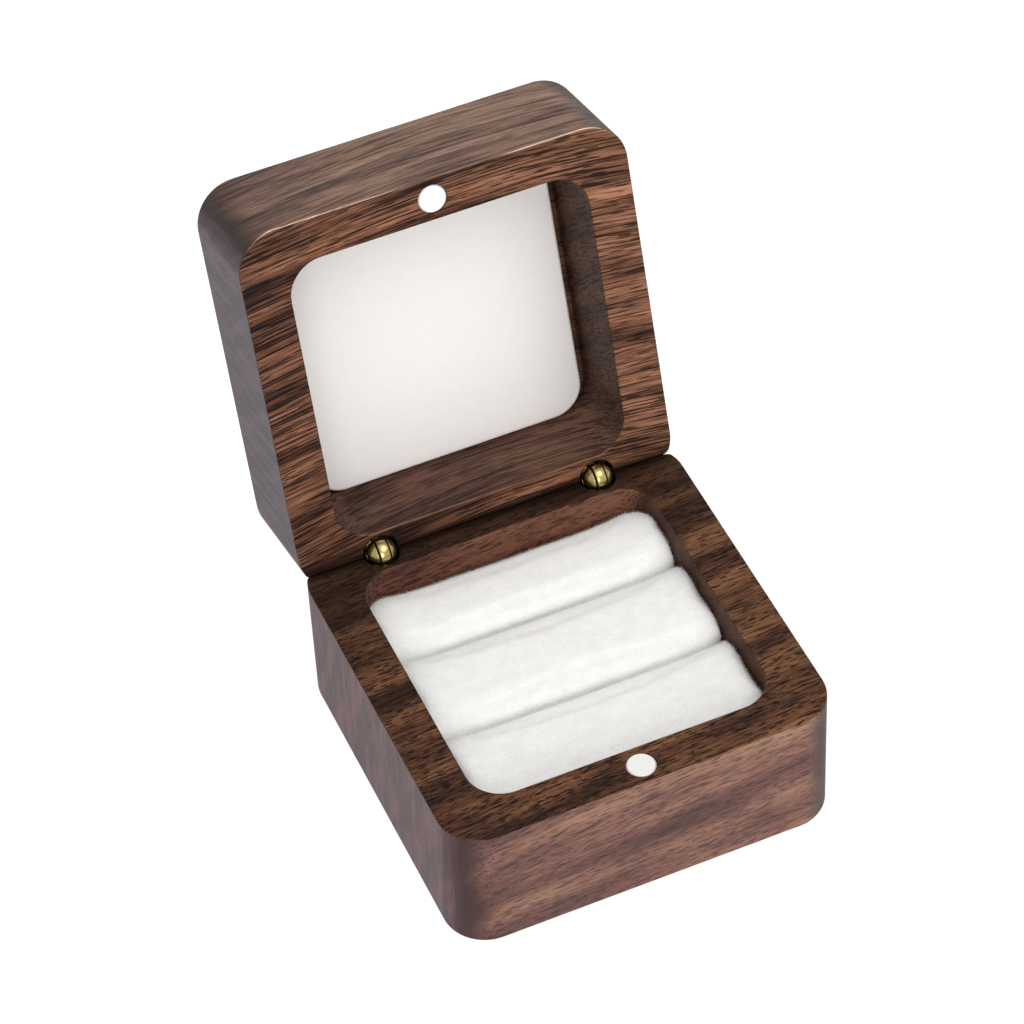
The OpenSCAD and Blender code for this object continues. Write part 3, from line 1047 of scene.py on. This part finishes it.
# Each leaf is drawn about the hinge line with its barrel pointing down
hingeLook = {
    "ball": 2.10 * mm,          # radius of the round knuckle
    "neck": 1.95 * mm,
    "shoulder": 2.3 * mm,       # from the hinge line to the shoulder under the ball
    "tongue": 0.75 * mm,        # half the thickness of the middle lobe
    "slit": 0.07 * mm,          # gap between two lobes
    "slitRound": 0.16 * mm,     # rounding of the edges of each gap
    "neckBack": 0.02 * mm,      # how far the neck stands back from the faces of the lobes
    "seam": 0.785 * mm,         # middle of each gap from the middle of the hinge
    "bore": 0.75 * mm,
    "boreRoom": 0.3 * mm,       # how much wider the neck is bored than the lobes
    "barrel": 2.35 * mm,
    "rib": 2.51 * mm,
    "barrelLength": 6.9 * mm,
    "ribs": 5,
    "ribStart": 0.3,            # of the room for one rib, where it begins
    "ribSection": (0.12 * mm, 0.43 * mm, 0.55 * mm),  # up along the barrel: full, its end, back down
    "tipEase": 0.4 * mm,
    "shoulderEase": 0.1 * mm,
    "neckRoot": 0.5 * mm,
    "steps": 72,
    "boreSteps": 32,
}
brassLook = {
    "wearSize": (0.9, 0.9, 0.9),     # mm
    "scuffSize": (0.05, 1.2, 0.05),
    "dull": colour("#b7a263"),
    "bright": colour("#d2bf86"),
    "grime": colour("#1c1509"),
    "grimeWidth": (0.24, 0.10),      # mm to each side of a gap between two lobes
    "grimeShare": 0.85,
}
nickelLook = {
    "speckSize": (0.12, 0.12, 0.12),
    "dull": colour("#f0efed"),
    "bright": colour("#fbfaf8"),
}


def brassFinish(name):
    look = brassLook
    material, shader, place, normal = startMaterial(name)
    wear = place.noise(look["wearSize"], 3.0, 0.6)
    scuffs = place.noise(look["scuffSize"], 2.0, 0.6)
    body = wear.ramp([(0.3, look["dull"]), (0.7, look["bright"])])
    # Painted shade: the brass is darkened along the gaps between the lobes, and its roughness rises
    # there
    fromMiddle = abs(abs(place.axis("X")) - hingeX / mm)
    grime = abs(fromMiddle - hingeLook["seam"] / mm).between(*look["grimeWidth"])
    body = (grime * look["grimeShare"]).blend(body, look["grime"])
    bump = place.node("Bump", None, {"Height": scuffs, "Strength": 0.05, "Distance": 0.01 * mm})
    connect(shader, Base_Color=body, Metallic=1.0, Roughness=0.22 + 0.10 * wear + 0.2 * grime,
            Normal=bump)
    return material


def nickelFinish(name):
    material, shader, place, normal = startMaterial(name)
    speck = place.noise(nickelLook["speckSize"], 3.0, 0.6)
    body = speck.ramp([(0.3, nickelLook["dull"]), (0.7, nickelLook["bright"])])
    bump = place.node("Bump", None, {"Height": speck, "Strength": 0.1, "Distance": 0.01 * mm})
    connect(shader, Base_Color=body, Metallic=0.3, Roughness=0.40 + 0.15 * speck, Normal=bump)
    return material


def plainFinish(name, high, low, size):
    material, shader, place, normal = startMaterial(name)
    fibre = place.noise(size, 3.0, 0.6)
    body = fibre.ramp([(0.35, low), (0.65, high)])
    bump = place.node("Bump", None, {"Height": fibre, "Strength": 0.4, "Distance": 0.05 * mm})
    connect(shader, Base_Color=body, Roughness=0.9, Normal=bump)
    return material


brass = brassFinish("polishedBrass")
nickel = nickelFinish("brushedNickel")
foam = plainFinish("paleFoam", colour("#e2ddcf"), colour("#c9c2b0"), (0.4, 0.4, 0.4))
card = plainFinish("greyCard", colour("#c0b39c"), colour("#a39679"), (1.5, 0.3, 0.3))


# Closed ring about the X axis from a loop of (x, radius) points
def turnedRing(loop, steps):
    built = bmesh.new()
    rows = [[built.verts.new((x, r * math.cos(2 * math.pi * i / steps),
                              r * math.sin(2 * math.pi * i / steps))) for i in range(steps)]
            for x, r in loop]
    bridge(built, rows + rows[:1])
    bmesh.ops.recalc_face_normals(built, faces=built.faces)
    return meshFrom(built, "ring")


poleX = math.sqrt(hingeLook["ball"] ** 2 - hingeLook["bore"] ** 2)  # where the bore leaves the ball


# Section of one lobe from x0 to x1, cut from the ball, with its slit edges rounded
def lobeLoop(x0, x1):
    ball = hingeLook["ball"]
    ease = hingeLook["slitRound"]

    # From the bore round the edge of a slit to the ball; at the pole there is no slit
    def slitEdge(end, inward):
        if abs(end) >= poleX:
            return end, []
        edge = math.sqrt(ball ** 2 - (end + inward * ease) ** 2)
        turn = [(end + inward * ease * (1 - math.cos(a)), edge - ease * (1 - math.sin(a)))
                for a in (math.radians(15 * i) for i in range(6))]
        return end + inward * ease, [(end, hingeLook["bore"])] + turn

    first, head = slitEdge(x0, 1)
    last, tail = slitEdge(x1, -1)
    along = [first + (last - first) * i / 20 for i in range(21)]
    return head + [(x, math.sqrt(ball ** 2 - x ** 2)) for x in along] + tail[::-1]


def boxMesh(low, high):
    return loft([[(low[0], low[1], z), (high[0], low[1], z), (high[0], high[1], z),
                  (low[0], high[1], z)] for z in (low[2], high[2])])


def barrelProfile():
    look = hingeLook
    top = -look["shoulder"]
    tip = top - look["barrelLength"]
    pitch = (look["barrelLength"] - 2 * look["tipEase"]) / look["ribs"]
    profile = [(look["barrel"] - look["tipEase"], tip), (look["barrel"], tip + look["tipEase"])]
    full, fullEnd, end = look["ribSection"]
    for i in range(look["ribs"]):
        z = tip + look["tipEase"] + (i + look["ribStart"]) * pitch
        profile += [(look["barrel"], z), (look["rib"], z + full), (look["rib"], z + fullEnd),
                    (look["barrel"], z + end)]
    ease = look["shoulderEase"]
    return profile + [(look["barrel"], top - ease), (look["barrel"] - ease, top)]


def hingeLeaf(name, lobes, slits):
    look = hingeLook
    leaf = placeMesh(name, lathe(barrelProfile(), look["steps"]))
    root = -look["shoulder"] - look["neckRoot"]
    neck = placeMesh("neck", lathe([(look["neck"], root), (look["neck"], 0)], look["steps"]))
    combine(leaf, [neck], "UNION")
    reach = 20 * mm
    gap = look["slit"]
    behind = placeMesh("cutter", boxMesh((-reach / 2, -gap, -gap), (reach / 2, reach, reach)))
    behind.data.transform(Matrix.Rotation(-openAngle / 2, 4, "X"))
    cutters = [behind]
    tall = 5 * mm
    for x0, x1 in slits:
        cutters.append(placeMesh("cutter", boxMesh((x0, -tall, -look["shoulder"]), (x1, tall, tall))))
    combine(leaf, cutters, "DIFFERENCE")
    clear = look["bore"] + look["boreRoom"]
    bore = placeMesh("cutter", lathe([(clear, -tall), (clear, tall)], look["boreSteps"]))
    bore.data.transform(Matrix.Rotation(math.radians(90), 4, "Y"))
    combine(leaf, [bore], "DIFFERENCE")
    combine(leaf, [placeMesh("lobe", turnedRing(lobeLoop(x0, x1), look["steps"])) for x0, x1 in lobes],
            "UNION")
    cleanUp(leaf)
    return leaf


cheekX = hingeLook["tongue"] + hingeLook["slit"]
wide = 5 * mm
neckBack = hingeLook["neckBack"]
tongueNeck = hingeLook["tongue"] - neckBack
for side, sign in (("left", -1), ("right", 1)):
    toHinge = Matrix.Translation((sign * hingeX, hingeY, partingZ))
    baseLeaf = hingeLeaf(side + "BaseLeaf", [(-hingeLook["tongue"], hingeLook["tongue"])],
                         [(-wide, -tongueNeck), (tongueNeck, wide)])
    baseLeaf.data.transform(toHinge)
    lidLeaf = hingeLeaf(side + "LidLeaf", [(-poleX, -cheekX), (cheekX, poleX)],
                        [(-cheekX - neckBack, cheekX + neckBack)])
    lidLeaf.data.transform(openTurn @ toHinge @ Matrix.Diagonal((1, 1, -1, 1)))
    lidLeaf.data.flip_normals()
    dressPiece(baseLeaf, brass, 40, side + "_hinge_base_leaf", "base")
    dressPiece(lidLeaf, brass, 40, side + "_hinge_lid_leaf", "lid")

# The other nodes keep their shapes
for material, nodes in ((brass, ("left_hinge_pin", "right_hinge_pin")),
                        (nickel, ("base_magnet", "lid_magnet")),
                        (foam, ("rear_roll_core", "middle_roll_core", "front_roll_core",
                                "lining_pad")),
                        (card, ("insert_card", "lining_card"))):
    for node in nodes:
        mesh = frame["nodes"][node].data
        mesh.materials.clear()
        mesh.materials.append(material)
print("hinges, magnets, foam and card are finished")
